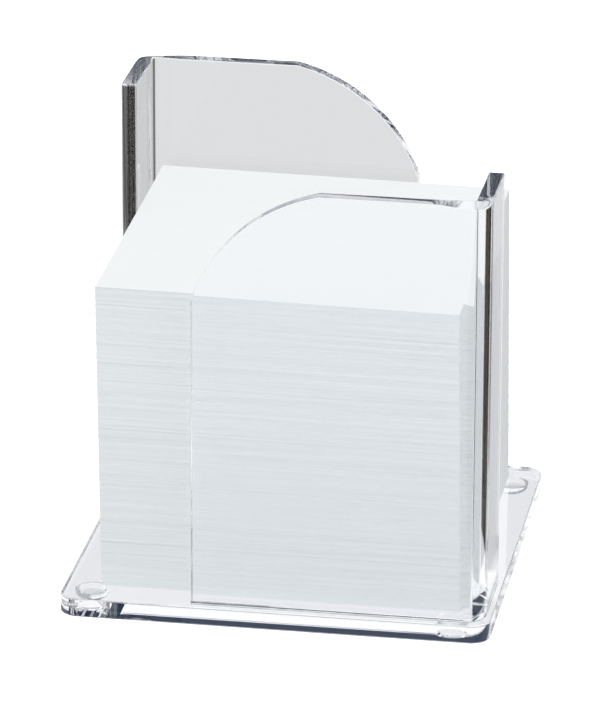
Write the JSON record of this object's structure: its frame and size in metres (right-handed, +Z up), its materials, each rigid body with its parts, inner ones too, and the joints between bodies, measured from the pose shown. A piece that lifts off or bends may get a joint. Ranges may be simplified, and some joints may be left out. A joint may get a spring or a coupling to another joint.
{
  "type": "memo pad holder",
  "caption": "Clear holder with bent corner walls on a footed square plate, open at opposite corners, so that a cube of loose notes inside can be gripped and lifted out.",
  "frame": {"origin": "under the middle of the plate, level with the flat bottoms of the feet", "axes": "+Z up, +Y from the wide wing of the front wall towards the wide wing of the rear wall, +X to the right seen from the front"},
  "size_m": [0.1076, 0.1076, 0.115],
  "materials": {
    "clear_acrylic": "clear, polished",
    "clear_bumper": "clear, glossy",
    "note_paper": "matte"
  },
  "bodies": {
    "holder": {"base_plate": "clear_acrylic", "front_corner_wall": "clear_acrylic", "rear_corner_wall": "clear_acrylic", "foot_front_left": "clear_bumper", "foot_front_right": "clear_bumper", "foot_rear_left": "clear_bumper", "foot_rear_right": "clear_bumper"},
    "note_pile": {"note_block": "note_paper"},
    "loose_note": {"top_note": "note_paper"}
  },
  "joints": [
    {"name": "notes_lift", "type": "slide", "parent": "holder", "child": "note_pile", "axis": [0, 0, 1], "range_m": [0, 0.112]},
    {"name": "top_note_lift", "type": "slide", "parent": "note_pile", "child": "loose_note", "axis": [0, 0, 1], "range_m": [0, 0.032]}
  ]
}
